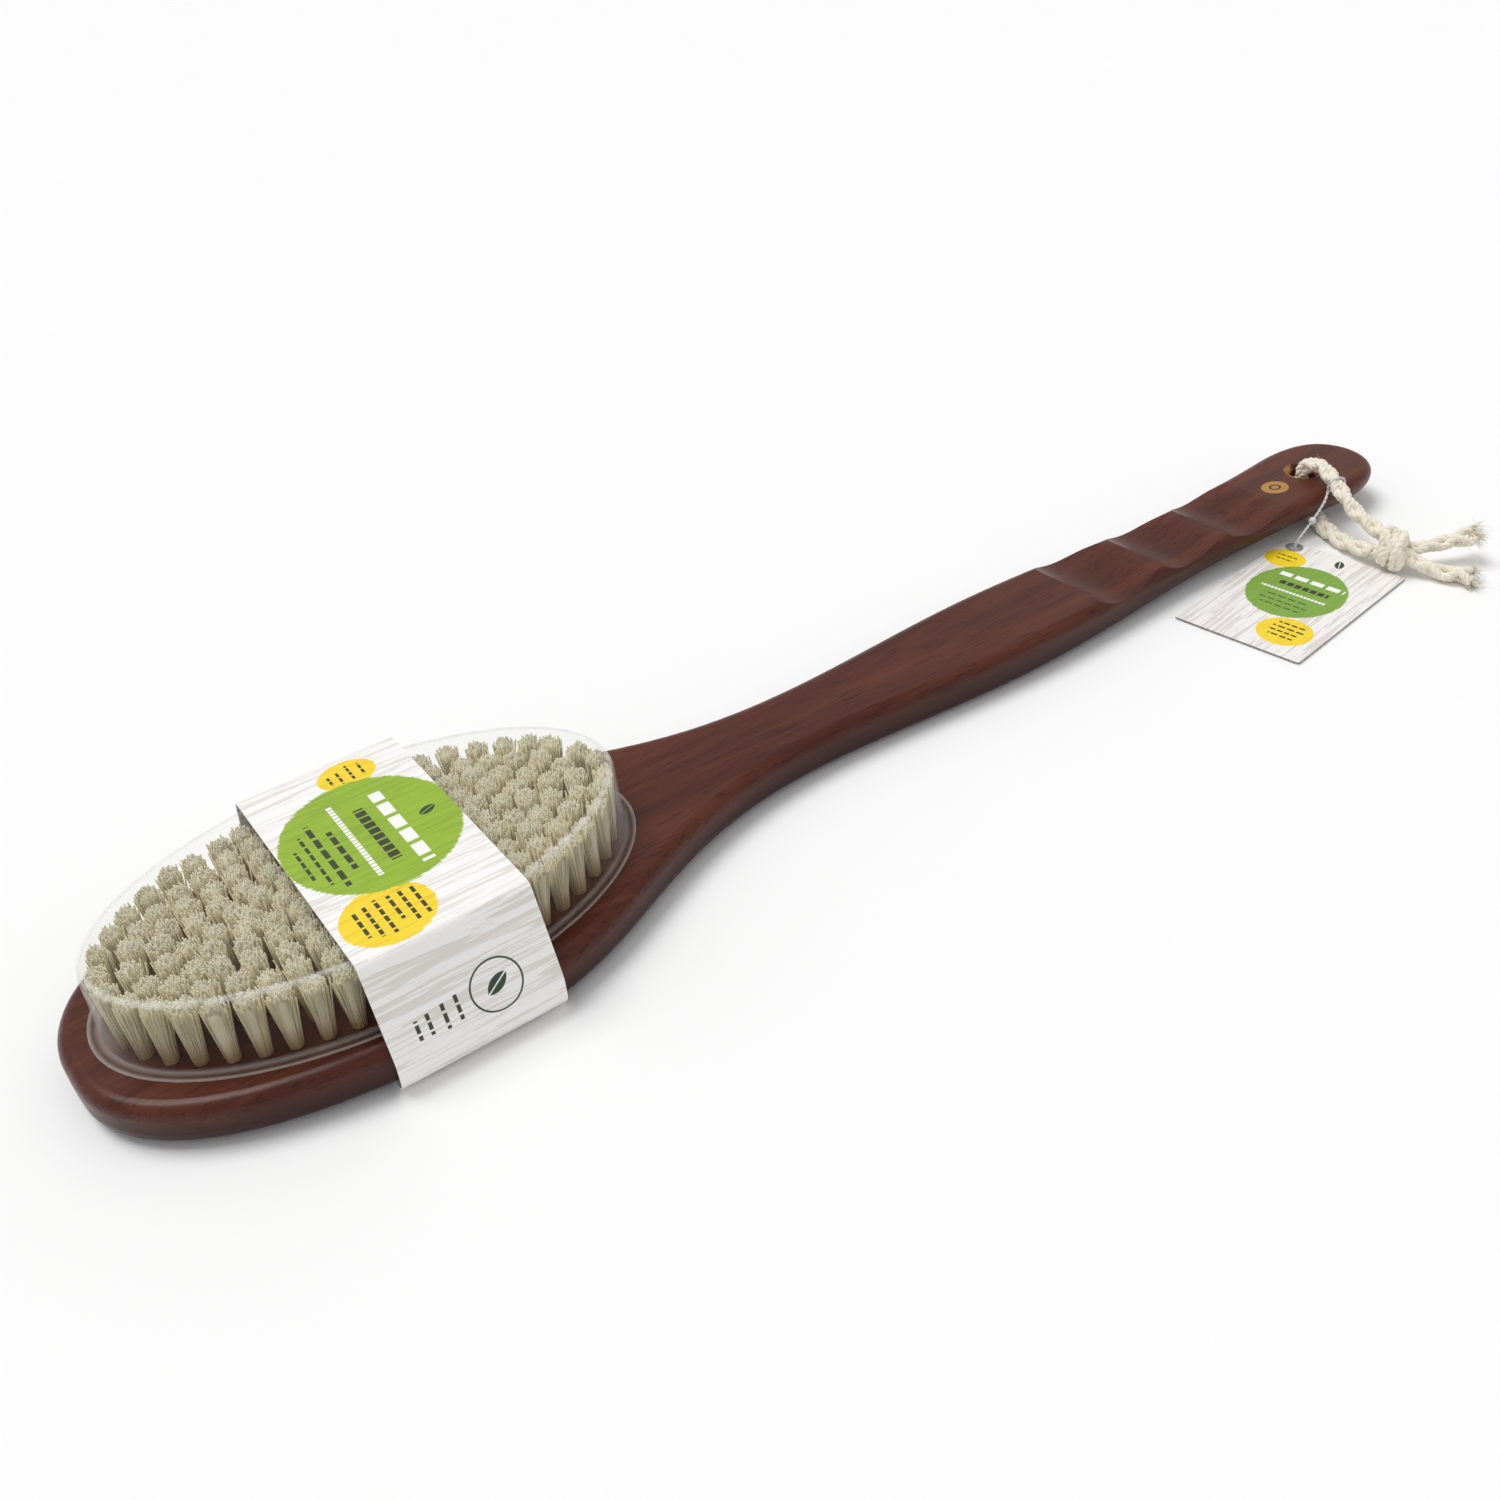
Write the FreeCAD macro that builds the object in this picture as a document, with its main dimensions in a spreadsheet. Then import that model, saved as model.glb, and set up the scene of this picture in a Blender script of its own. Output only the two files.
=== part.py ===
"""Long-handled body brush with its packaging: a stained wooden head and handle, bristle tufts
stapled into drilled holes, a clear cover, a printed card sleeve, a hanging rope and a hang tag.

Frame: +X from the tip of the head to the end of the handle, +Z up out of the bristles, Z = 0 on the
surface that the brush lies on. The parts are drawn with X = 0 at the tip and every finished part is
moved by the same amount, so that the origin is under the middle of the brush.
"""
import FreeCAD, Part
import math
import os
import Sketcher

Vector = FreeCAD.Vector
doc = FreeCAD.newDocument("body_brush")

# ---------------------------------------------------------------- driving dimensions (millimetres)
SIZES = [
    ("brush_length", 430), ("head_length", 89.4), ("head_half_width", 43.3), ("head_roundness", 2.47),
    ("head_top", 12), ("top_edge_radius", 3.2), ("under_edge_radius", 4),
    ("lobe_radius", 16), ("hole_place", 404), ("hole_radius", 4.2), ("hole_chamfer", 1.3),
    ("groove_start", 294.5), ("groove_pitch", 29.3), ("groove_depth", 2.4), ("groove_count", 3),
    ("tuft_hole_radius", 1.8), ("tuft_hole_depth", 7.6), ("tuft_clearance", 0.06),
    ("tuft_root_gap", 1.6), ("tuft_height", 17), ("tuft_spread", 2.3), ("tuft_pitch", 6.5),
    ("tuft_oval_length", 59.8), ("tuft_oval_width", 31.8), ("tuft_row_step", 6.36), ("tuft_rows", 6),
    ("staple_width", 3.1), ("staple_wire", 0.5), ("staple_height", 1.3),
    ("cover_centre", 72.3), ("cover_half_length", 63.4), ("cover_half_width", 35.4),
    ("cover_top", 30.9), ("cover_sheet", 0.4), ("cover_taper", 2), ("cover_top_radius", 2.6),
    ("flange_reach", 2.6), ("flange_sheet", 0.35),
    ("sleeve_start", 55.8), ("sleeve_length", 40), ("sleeve_top", 31.65), ("sleeve_card", 0.4),
    ("sleeve_top_half_width", 35.9), ("sleeve_half_width", 44.35), ("sleeve_shoulder", 9.5),
    ("sleeve_fold_radius", 2.2), ("sleeve_shoulder_radius", 9), ("sleeve_under_radius", 4.6),
    ("rope_radius", 2.3), ("knot_half_length", 6.3), ("knot_half_height", 5.75),
    ("string_radius", 0.45), ("bead_radius", 1.15), ("string_loop_gap", 0.12),
    ("tag_length", 63), ("tag_width", 40.5), ("tag_card", 0.5), ("tag_corner", 0.8),
    ("tag_centre_x", 353), ("tag_centre_y", -37), ("tag_turn", 8),
    ("eyelet_from_end", 3.3), ("eyelet_from_side", 5.3), ("eyelet_bore", 1.5),
    ("eyelet_barrel", 1.85), ("eyelet_rim", 2.7), ("eyelet_sheet", 0.3),
]
sheet = doc.addObject("Spreadsheet::Sheet", "Sizes")
for row, (alias, value) in enumerate(SIZES, start=1):
    sheet.set(f"A{row}", alias)
    sheet.set(f"B{row}", str(value))
    sheet.setAlias(f"B{row}", alias)
doc.recompute()


def size(alias):
    """The number in the sheet's cell of that name."""
    return float(getattr(sheet, alias))


# Half-widths of the handle's outline, from the neck to the lobe at its end: (along, half-width).
HANDLE_OUTLINE = [(112, 37.4), (130, 28.9), (150, 20.2), (170, 14.8), (195, 12.8), (228, 14.4),
                  (262, 16.3), (300, 15.3), (345, 13.2), (370, 14.0), (394, 15.4)]
# The side view: the underside bellies down to the resting surface and lifts again over the rope,
# and the top face rises a little towards the end.
UNDERSIDE = [(-10, 0.7), (50, 0.7), (110, 0.7), (180, 0.4), (250, 0.1), (330, 2.1), (404, 5.4),
             (440, 6.0)]
TOP_FACE = [(-10, 12.0), (70, 12.0), (150, 12.0), (230, 11.9), (290, 12.3), (350, 12.2), (404, 13.0),
            (440, 13.8)]

# A finger groove's floor: (share of the pitch from its crease, share of the full depth).
GROOVE_FLOOR = [(0, 0), (0.12, 0.62), (0.3, 1), (0.62, 0.62), (1, 0.02)]

# Routes of the soft parts, chosen by hand. The rope runs from its knot up over the lobe's edge,
# down through the hole, and back under the lobe to the knot.
ROPE_ROUTE = [(392.2, -41.4, 7.8), (393.6, -34.0, 9.4), (393.8, -27.0, 12.0), (395.8, -20.8, 15.2),
              (399.0, -13.8, 17.4), (403.4, -6.8, 17.8), (404.3, 0.2, 15.0), (404.0, 0.3, 4.4),
              (402.0, -6.5, 2.45),
              (395.0, -15.5, 2.4), (390.5, -25.5, 2.4), (388.5, -33.5, 3.3), (387.8, -40.5, 4.8)]
KNOT_CENTRE = (389.8, -46.2, 6.9)
UPPER_TAIL_ROUTE = [(393.5, -48.0, 6.4), (399.5, -50.5, 4.4), (406.0, -54.0, 2.7),
                    (411.6, -58.7, 2.45)]
LOWER_TAIL_ROUTE = [(390.8, -50.5, 5.4), (392.6, -56.0, 3.3), (395.2, -61.5, 2.5),
                    (398.3, -66.4, 2.4)]
STRING_ROUTE = [(378.9, -18.3, 0.4), (379.3, -18.3, 2.6), (382.4, -18.6, 5.4), (388.0, -18.4, 9.4),
                (392.6, -17.6, 12.4), (395.6, -16.2, 14.1)]
BEAD_PLACE = (386.0, -18.5, 7.95)
STRING_LOOP_PLACE = (397.4, -17.3, 16.3)
STRING_LOOP_AXIS = (-3.2, -7.0, -2.2)


# ---------------------------------------------------------------- helpers
def new_body(label):
    body = doc.addObject("PartDesign::Body", label)
    body.Label = label
    return body


def origin_plane(body, role):
    for feature in body.Origin.OriginFeatures:
        if feature.Role == role:
            return feature
    raise ValueError(role)


def new_sketch(body, name, role, offset=None):
    """An empty sketch on one of the body's own origin planes; offset binds its height to a cell."""
    sketch = body.newObject("Sketcher::SketchObject", name)
    sketch.AttachmentSupport = (origin_plane(body, role), [""])
    sketch.MapMode = "FlatFace"
    if offset:
        sketch.setExpression("AttachmentOffset.Base.z", offset)
    return sketch


def new_feature(body, kind, name, sketch, **values):
    """A sketch-based feature; text values are bound to the sheet, other values are set."""
    feature = body.newObject(kind, name)
    feature.Profile = sketch
    for key, value in values.items():
        if isinstance(value, str) and value.startswith("="):
            feature.setExpression(key, value[1:])
        else:
            setattr(feature, key, value)
    doc.recompute()
    return feature


def add_circle(sketch, x, y, radius, cell=None):
    """A circle whose centre is fixed and whose radius is bound to a cell of the sheet."""
    circle = sketch.addGeometry(Part.Circle(Vector(x, y, 0), Vector(0, 0, 1), radius), False)
    sketch.addConstraint(Sketcher.Constraint("Radius", circle, radius))
    index = sketch.ConstraintCount - 1
    if cell:
        sketch.setExpression(f"Constraints[{index}]", cell)
    sketch.addConstraint(Sketcher.Constraint("DistanceX", -1, 1, circle, 3, x))
    sketch.addConstraint(Sketcher.Constraint("DistanceY", -1, 1, circle, 3, y))
    return circle


def add_polygon(sketch, corners):
    """A closed outline of straight sides."""
    count = len(corners)
    for index, corner in enumerate(corners):
        after = corners[(index + 1) % count]
        sketch.addGeometry(Part.LineSegment(Vector(*corner, 0), Vector(*after, 0)), False)
    for index in range(count):
        sketch.addConstraint(Sketcher.Constraint("Coincident", index, 2, (index + 1) % count, 1))


def add_rounded_polygon(sketch, corners):
    """A closed outline of straight sides and tangent corner arcs; corners are (x, y, radius)."""
    count = len(corners)
    arcs = []
    for index, (x, y, radius) in enumerate(corners):
        here = Vector(x, y, 0)
        before = Vector(corners[index - 1][0], corners[index - 1][1], 0) - here
        after = Vector(corners[(index + 1) % count][0], corners[(index + 1) % count][1], 0) - here
        before.normalize()
        after.normalize()
        half = before.getAngle(after) / 2
        reach = radius / math.tan(half)
        bisector = before + after
        bisector.normalize()
        middle = here + bisector * (radius / math.sin(half) - radius)
        arcs.append((here + before * reach, middle, here + after * reach))
    for index, (start, middle, end) in enumerate(arcs):
        sketch.addGeometry(Part.Arc(start, middle, end), False)
        sketch.addGeometry(Part.LineSegment(end, arcs[(index + 1) % count][0]), False)
    total = 2 * count
    first = sketch.GeometryCount - total
    for step in range(total):
        sketch.addConstraint(Sketcher.Constraint("Coincident", first + step, 2,
                                                 first + (step + 1) % total, 1))


def spline(points, closed=False):
    """One smooth curve through points in a sketch's own plane."""
    curve = Part.BSplineCurve()
    curve.interpolate(Points=[Vector(x, y, 0) for x, y in points], PeriodicFlag=closed)
    return curve


def feature_of(label, shape):
    """A sub-part whose shape comes from Part's own functions."""
    item = doc.addObject("Part::Feature", label)
    item.Label = label
    item.Shape = shape
    return item


def tube(points, radius, name):
    """A round tube along straight runs joined by tangent arcs.

    Each arc's radius is 0.45 of its shorter run over the tangent of half the turn.
    """
    share = 0.45
    corners = [Vector(*point) for point in points]
    edges = []
    radii = []
    start = corners[0]
    for before, here, after in zip(corners, corners[1:], corners[2:]):
        back = before - here
        ahead = after - here
        trim = share * min(back.Length, ahead.Length)
        back.normalize()
        ahead.normalize()
        half_turn = (math.pi - back.getAngle(ahead)) / 2
        bend = trim / math.tan(half_turn)
        radii.append(round(bend, 1))
        bisector = back + ahead
        bisector.normalize()
        middle = here + bisector * (bend / math.cos(half_turn) - bend)
        arc_start = here + back * trim
        arc_end = here + ahead * trim
        edges.append(Part.LineSegment(start, arc_start).toShape())
        edges.append(Part.Arc(arc_start, middle, arc_end).toShape())
        start = arc_end
    edges.append(Part.LineSegment(start, corners[-1]).toShape())
    path = Part.Wire(edges)
    first_run = corners[1] - corners[0]
    profile = Part.Wire([Part.makeCircle(radius, corners[0], first_run)])
    solid = path.makePipeShell([profile], True, False)
    expected = math.pi * radius ** 2 * path.Length
    print(f"{name}: length {path.Length:.1f}, radii {radii}, "
          f"volume {solid.Volume:.0f} against {expected:.0f}")
    return solid


# ---------------------------------------------------------------- where the tufts stand
def ellipse_places(half_length, half_width, count, phase):
    """Points an equal distance apart round an ellipse."""
    steps = 720
    ring = [(half_length * math.cos(2 * math.pi * step / steps),
             half_width * math.sin(2 * math.pi * step / steps)) for step in range(steps + 1)]
    lengths = [0.0]
    for start, end in zip(ring, ring[1:]):
        lengths.append(lengths[-1] + math.dist(start, end))
    places = []
    for index in range(count):
        target = lengths[-1] * ((index + phase) % count) / count
        step = min(range(steps), key=lambda k: abs(lengths[k] - target))
        places.append(ring[step])
    return places


def line_places(half_length, pitch):
    """Points an equal distance apart along a straight line."""
    count = int(2 * half_length / pitch) + 1
    return [((2 * index - count + 1) * pitch / 2, 0) for index in range(count)]


def tuft_rows():
    """The tuft centres, row by row from the outside: ovals round one straight middle row."""
    rows = []
    for row in range(int(size("tuft_rows"))):
        half_length = size("tuft_oval_length") - row * size("tuft_row_step")
        half_width = size("tuft_oval_width") - row * size("tuft_row_step")
        if half_width < size("tuft_spread"):
            places = line_places(half_length, size("tuft_pitch"))
        else:
            around = math.pi * (3 * (half_length + half_width) - math.sqrt(
                (3 * half_length + half_width) * (half_length + 3 * half_width)))
            count = int(around / size("tuft_pitch"))
            places = ellipse_places(half_length, half_width, count, 0.5 * (row % 2))
        rows.append([(size("cover_centre") + x, y) for x, y in places])
    return rows


TUFTS = tuft_rows()


# ---------------------------------------------------------------- the wooden brush
def head_outline(reach):
    """Points of the head's oval half-outline from near the tip to the widest place."""
    places = []
    for along in (1.5, 6, 16, 34, 60):
        share = (reach - along) / reach
        half = size("head_half_width") * (1 - share ** size("head_roundness")) ** (
            1 / size("head_roundness"))
        places.append((along, half))
    places.append((reach, size("head_half_width")))
    return places


def make_brush_body():
    body = new_body("brush_body")
    lobe = size("lobe_radius")
    lobe_centre = size("brush_length") - lobe
    half = head_outline(size("head_length")) + HANDLE_OUTLINE
    half += [(lobe_centre + lobe * math.sin(turn), lobe * math.cos(turn)) for turn in (0, math.pi / 4)]
    mirrored = [(x, -y) for x, y in reversed(half)]
    outline = new_sketch(body, "outline", "XY_Plane")
    around = spline([(0, 0)] + half + [(size("brush_length"), 0)] + mirrored, closed=True)
    middle = (around.FirstParameter + around.LastParameter) / 2
    for start, end in ((around.FirstParameter, middle), (middle, around.LastParameter)):
        side = around.copy()
        side.segment(start, end)
        outline.addGeometry(side, False)
    for end in (1, 2):
        outline.addConstraint(Sketcher.Constraint("Coincident", 0, end, 1, 3 - end))
    blank = new_feature(body, "PartDesign::Pad", "blank", outline,
                        Length="=Sizes.head_top + 2 * Sizes.under_edge_radius")

    side_cut(body, "under_cut", UNDERSIDE, -size("head_top"))
    top_cut = side_cut(body, "top_cut", TOP_FACE, 4 * size("head_top"))

    round_edges(body, top_cut, "top_rounding", "top_edge_radius", upper=True)
    round_edges(body, body.Tip, "under_rounding", "under_edge_radius", upper=False)
    cut_grooves(body)
    drill(body)
    return body


def side_cut(body, name, line, far_level):
    """Cut away all that lies between a side-view line and a level beyond the wood."""
    sketch = new_sketch(body, f"{name}_profile", "XZ_Plane")
    start = Vector(line[0][0], line[0][1], 0)
    end = Vector(line[-1][0], line[-1][1], 0)
    far_start = Vector(start.x, far_level, 0)
    far_end = Vector(end.x, far_level, 0)
    sketch.addGeometry(spline(line), False)
    sketch.addGeometry(Part.LineSegment(end, far_end), False)
    sketch.addGeometry(Part.LineSegment(far_end, far_start), False)
    sketch.addGeometry(Part.LineSegment(far_start, start), False)
    for index in range(4):
        sketch.addConstraint(Sketcher.Constraint("Coincident", index, 2, (index + 1) % 4, 1))
    return new_feature(body, "PartDesign::Pocket", name, sketch, Midplane=True,
                       Length="=4 * Sizes.head_half_width")


def round_edges(body, base, name, cell, upper):
    """Round the long edges round the top face or round the underside."""
    middle = size("head_top") / 2
    chosen = []
    for index, edge in enumerate(base.Shape.Edges, start=1):
        box = edge.BoundBox
        flat_across = box.YLength < 0.01
        level = edge.CenterOfMass.z
        if edge.Length > 20 and not flat_across and (level > middle) == upper:
            chosen.append(f"Edge{index}")
    fillet = body.newObject("PartDesign::Fillet", name)
    fillet.Base = (base, chosen)
    fillet.setExpression("Radius", f"Sizes.{cell}")
    doc.recompute()
    return fillet


def level_of(line, along):
    """Height of a side-view line at a place along the brush."""
    for (x0, z0), (x1, z1) in zip(line, line[1:]):
        if x0 <= along <= x1:
            return z0 + (z1 - z0) * (along - x0) / (x1 - x0)
    raise ValueError(along)


def cut_grooves(body):
    """Scalloped finger grooves: each drops from a crease and rises gently to the next one."""
    pitch = size("groove_pitch")
    depth = size("groove_depth")
    for number in range(int(size("groove_count"))):
        start = size("groove_start") + number * pitch
        sketch = new_sketch(body, f"groove_{number + 1}_profile", "XZ_Plane")
        floor_points = []
        for share, cut in GROOVE_FLOOR:
            along = start + share * pitch
            floor_points.append((along, level_of(TOP_FACE, along) - cut * depth))
        first = Vector(*floor_points[0], 0)
        last = Vector(*floor_points[-1], 0)
        high = level_of(TOP_FACE, start) + size("head_top")
        high_start = Vector(start, high, 0)
        high_end = Vector(last.x, high, 0)
        sketch.addGeometry(spline(floor_points), False)
        sketch.addGeometry(Part.LineSegment(last, high_end), False)
        sketch.addGeometry(Part.LineSegment(high_end, high_start), False)
        sketch.addGeometry(Part.LineSegment(high_start, first), False)
        for index in range(4):
            sketch.addConstraint(Sketcher.Constraint("Coincident", index, 2, (index + 1) % 4, 1))
        new_feature(body, "PartDesign::Pocket", f"groove_{number + 1}", sketch, Midplane=True,
                    Length="=4 * Sizes.head_half_width")


def drill(body):
    """The hanging hole with its broken edges, and one blind hole for every tuft."""
    flared = new_sketch(body, "hanging_hole_profile", "XZ_Plane")
    flared.setExpression("AttachmentOffset.Base.x", "Sizes.hole_place")
    radius = size("hole_radius")
    flare = size("hole_chamfer")
    beyond = 2
    low = level_of(UNDERSIDE, size("hole_place"))
    high = level_of(TOP_FACE, size("hole_place"))
    corners = [(0, low - beyond), (radius + flare + beyond, low - beyond), (radius, low + flare),
               (radius, high - flare), (radius + flare + beyond, high + beyond), (0, high + beyond)]
    add_polygon(flared, corners)
    hole = new_feature(body, "PartDesign::Groove", "hanging_hole", flared, Angle=360)
    hole.ReferenceAxis = (flared, ["V_Axis"])
    doc.recompute()

    places = new_sketch(body, "tuft_hole_places", "XY_Plane", "2 * Sizes.head_top")
    for row in TUFTS:
        for x, y in row:
            places.addGeometry(Part.Circle(Vector(x, y, 0), Vector(0, 0, 1), size("tuft_hole_radius")),
                               False)
    new_feature(body, "PartDesign::Pocket", "tuft_holes", places,
                Length="=Sizes.head_top + Sizes.tuft_hole_depth")


# ---------------------------------------------------------------- tufts and their anchors
def make_tufts():
    """Each row of tufts is one group: a round root in its hole, then a cone that fans out."""
    root = size("tuft_hole_radius") - size("tuft_clearance")
    bottom = size("head_top") - size("tuft_hole_depth") + size("tuft_root_gap")
    for number, row in enumerate(TUFTS, start=1):
        solids = []
        for x, y in row:
            stem = Part.makeCylinder(root, size("head_top") - bottom, Vector(x, y, bottom))
            fan = Part.makeCone(root, size("tuft_spread"), size("tuft_height"),
                                Vector(x, y, size("head_top")))
            solids.append(stem.fuse(fan))
        feature_of(f"bristle_tufts_row_{number}", Part.makeCompound(solids))


def make_staples():
    """A flat wire anchor under every tuft."""
    low = size("head_top") - size("tuft_hole_depth") + 0.1
    for number, row in enumerate(TUFTS, start=1):
        solids = []
        for x, y in row:
            corner = Vector(x - size("staple_width") / 2, y - size("staple_wire") / 2, low)
            solids.append(Part.makeBox(size("staple_width"), size("staple_wire"),
                                       size("staple_height"), corner))
        feature_of(f"tuft_staples_row_{number}", Part.makeCompound(solids))


# ---------------------------------------------------------------- the clear cover
def add_ellipse(sketch, centre, half_length, half_width):
    shape = Part.Ellipse(Vector(centre, 0, 0), half_length, half_width)
    sketch.addGeometry(shape, False)


def make_cover():
    """A thin formed shell: a tapering wall with a rounded top edge, and a flat flange."""
    body = new_body("bristle_cover")
    centre = size("cover_centre")
    wall = new_sketch(body, "wall_outline", "XY_Plane", "Sizes.head_top + 0.05")
    add_ellipse(wall, centre, size("cover_half_length"), size("cover_half_width"))
    block = new_feature(body, "PartDesign::Pad", "wall", wall,
                        Length="=Sizes.cover_top - Sizes.head_top - 0.05",
                        TaperAngle="=-Sizes.cover_taper")
    top_edges = [f"Edge{index}" for index, edge in enumerate(block.Shape.Edges, start=1)
                 if edge.CenterOfMass.z > size("cover_top") - 0.01]
    rounding = body.newObject("PartDesign::Fillet", "top_rounding_edge")
    rounding.Base = (block, top_edges)
    rounding.setExpression("Radius", "Sizes.cover_top_radius")
    doc.recompute()
    open_face = min(range(len(rounding.Shape.Faces)),
                    key=lambda index: rounding.Shape.Faces[index].CenterOfMass.z)
    shell = body.newObject("PartDesign::Thickness", "shell")
    shell.Base = (rounding, [f"Face{open_face + 1}"])
    shell.Reversed = True
    shell.setExpression("Value", "Sizes.cover_sheet")
    doc.recompute()
    skirt = new_sketch(body, "flange_outline", "XY_Plane", "Sizes.head_top + 0.05")
    add_ellipse(skirt, centre, size("cover_half_length") + size("flange_reach"),
                size("cover_half_width") + size("flange_reach"))
    add_ellipse(skirt, centre, size("cover_half_length") - size("cover_sheet"),
                size("cover_half_width") - size("cover_sheet"))
    new_feature(body, "PartDesign::Pad", "flange", skirt, Length="=Sizes.flange_sheet")
    return body


# ---------------------------------------------------------------- the card sleeve
def sleeve_corners(inset):
    """The sleeve's section in Y and Z, as corner points with radii."""
    top = size("sleeve_top") - inset
    shoulder = size("sleeve_half_width") - inset
    narrow = size("sleeve_top_half_width") - inset
    fold = size("sleeve_fold_radius") - inset
    waist = size("sleeve_shoulder_radius") - inset
    under = size("sleeve_under_radius") - inset
    level = size("sleeve_shoulder")
    return [(-narrow, top, fold), (-shoulder, level, waist), (-shoulder, inset, under),
            (shoulder, inset, under), (shoulder, level, waist), (narrow, top, fold)]


def make_sleeve():
    body = new_body("card_sleeve")
    section = new_sketch(body, "section", "YZ_Plane", "Sizes.sleeve_start")
    add_rounded_polygon(section, sleeve_corners(0))
    add_rounded_polygon(section, sleeve_corners(size("sleeve_card")))
    new_feature(body, "PartDesign::Pad", "band", section, Length="=Sizes.sleeve_length")
    return body


# ---------------------------------------------------------------- rope and string
def make_rope():
    radius = size("rope_radius")
    feature_of("hanging_rope", tube(ROPE_ROUTE, radius, "hanging_rope"))
    feature_of("rope_upper_tail", tube(UPPER_TAIL_ROUTE, radius, "rope_upper_tail"))
    feature_of("rope_lower_tail", tube(LOWER_TAIL_ROUTE, radius, "rope_lower_tail"))
    knot = Part.makeSphere(1)
    stretch = FreeCAD.Matrix()
    stretch.scale(size("knot_half_length"), size("knot_half_length"), size("knot_half_height"))
    stretch.move(Vector(*KNOT_CENTRE))
    feature_of("rope_knot", knot.transformGeometry(stretch))


def make_string():
    radius = size("string_radius")
    feature_of("tag_string", tube(STRING_ROUTE, radius, "tag_string"))
    feature_of("tag_string_bead", Part.makeSphere(size("bead_radius"), Vector(*BEAD_PLACE)))
    ring = size("rope_radius") + radius + size("string_loop_gap")
    feature_of("tag_string_loop", Part.makeTorus(ring, radius, Vector(*STRING_LOOP_PLACE),
                                                 Vector(*STRING_LOOP_AXIS)))


# ---------------------------------------------------------------- the hang tag
def make_tag():
    tag = new_body("hang_tag")
    card = new_sketch(tag, "card_outline", "XY_Plane", "Sizes.eyelet_sheet")
    long_half = size("tag_length") / 2
    wide_half = size("tag_width") / 2
    corner = size("tag_corner")
    add_rounded_polygon(card, [(-long_half, -wide_half, corner), (long_half, -wide_half, corner),
                               (long_half, wide_half, corner), (-long_half, wide_half, corner)])
    new_feature(tag, "PartDesign::Pad", "card", card, Length="=Sizes.tag_card")
    punch = new_sketch(tag, "punch_place", "XY_Plane")
    eye_x = long_half - size("eyelet_from_end")
    eye_y = wide_half - size("eyelet_from_side")
    add_circle(punch, eye_x, eye_y, size("eyelet_barrel") + 0.05, "Sizes.eyelet_barrel + 0.05")
    new_feature(tag, "PartDesign::Pocket", "punch", punch, Type=1, Midplane=True)

    eyelet = new_body("tag_eyelet")
    profile = new_sketch(eyelet, "eyelet_profile", "XZ_Plane")
    bore = size("eyelet_bore")
    barrel = size("eyelet_barrel")
    rim = size("eyelet_rim")
    thin = size("eyelet_sheet")
    high = 2 * thin + size("tag_card")
    corners = [(bore, 0), (rim, 0), (rim, thin), (barrel, thin), (barrel, high - thin),
               (rim, high - thin), (rim, high), (bore, high)]
    add_polygon(profile, corners)
    turned = new_feature(eyelet, "PartDesign::Revolution", "turned", profile, Angle=360)
    turned.ReferenceAxis = (profile, ["V_Axis"])
    doc.recompute()

    turn = FreeCAD.Rotation(Vector(0, 0, 1), size("tag_turn"))
    centre = Vector(size("tag_centre_x"), size("tag_centre_y"), 0)
    tag.Placement = FreeCAD.Placement(centre, turn)
    eyelet.Placement = FreeCAD.Placement(centre + turn.multVec(Vector(eye_x, eye_y, 0)), turn)


# ---------------------------------------------------------------- build, check and write
make_brush_body()
make_tufts()
make_staples()
make_cover()
make_sleeve()
make_rope()
make_string()
make_tag()
doc.recompute()

PARTS = [item for item in doc.Objects
         if item.TypeId == "PartDesign::Body" or item.TypeId == "Part::Feature"]
to_middle = Vector(-size("brush_length") / 2, 0, 0)
for item in PARTS:
    item.Placement = FreeCAD.Placement(item.Placement.Base + to_middle, item.Placement.Rotation)
doc.recompute()

for item in doc.Objects:
    if "Invalid" in item.State or "Error" in item.State:
        raise RuntimeError(f"{item.Label} failed: {item.State}")
for item in PARTS:
    if item.Shape.isNull() or not item.Shape.isValid():
        raise RuntimeError(f"{item.Label} has no valid shape")

os.makedirs("parts", exist_ok=True)
for item in PARTS:
    item.Shape.exportStep(f"parts/{item.Label}.step")
    box = item.Shape.optimalBoundingBox()
    print(f"{item.Label}: {len(item.Shape.Solids)} solid, volume {item.Shape.Volume:.0f}, "
          f"x {box.XMin:.1f}..{box.XMax:.1f} y {box.YMin:.1f}..{box.YMax:.1f} "
          f"z {box.ZMin:.2f}..{box.ZMax:.2f}")
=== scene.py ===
import math

import bpy
import numpy as np
from mathutils import Matrix, Vector


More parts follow.
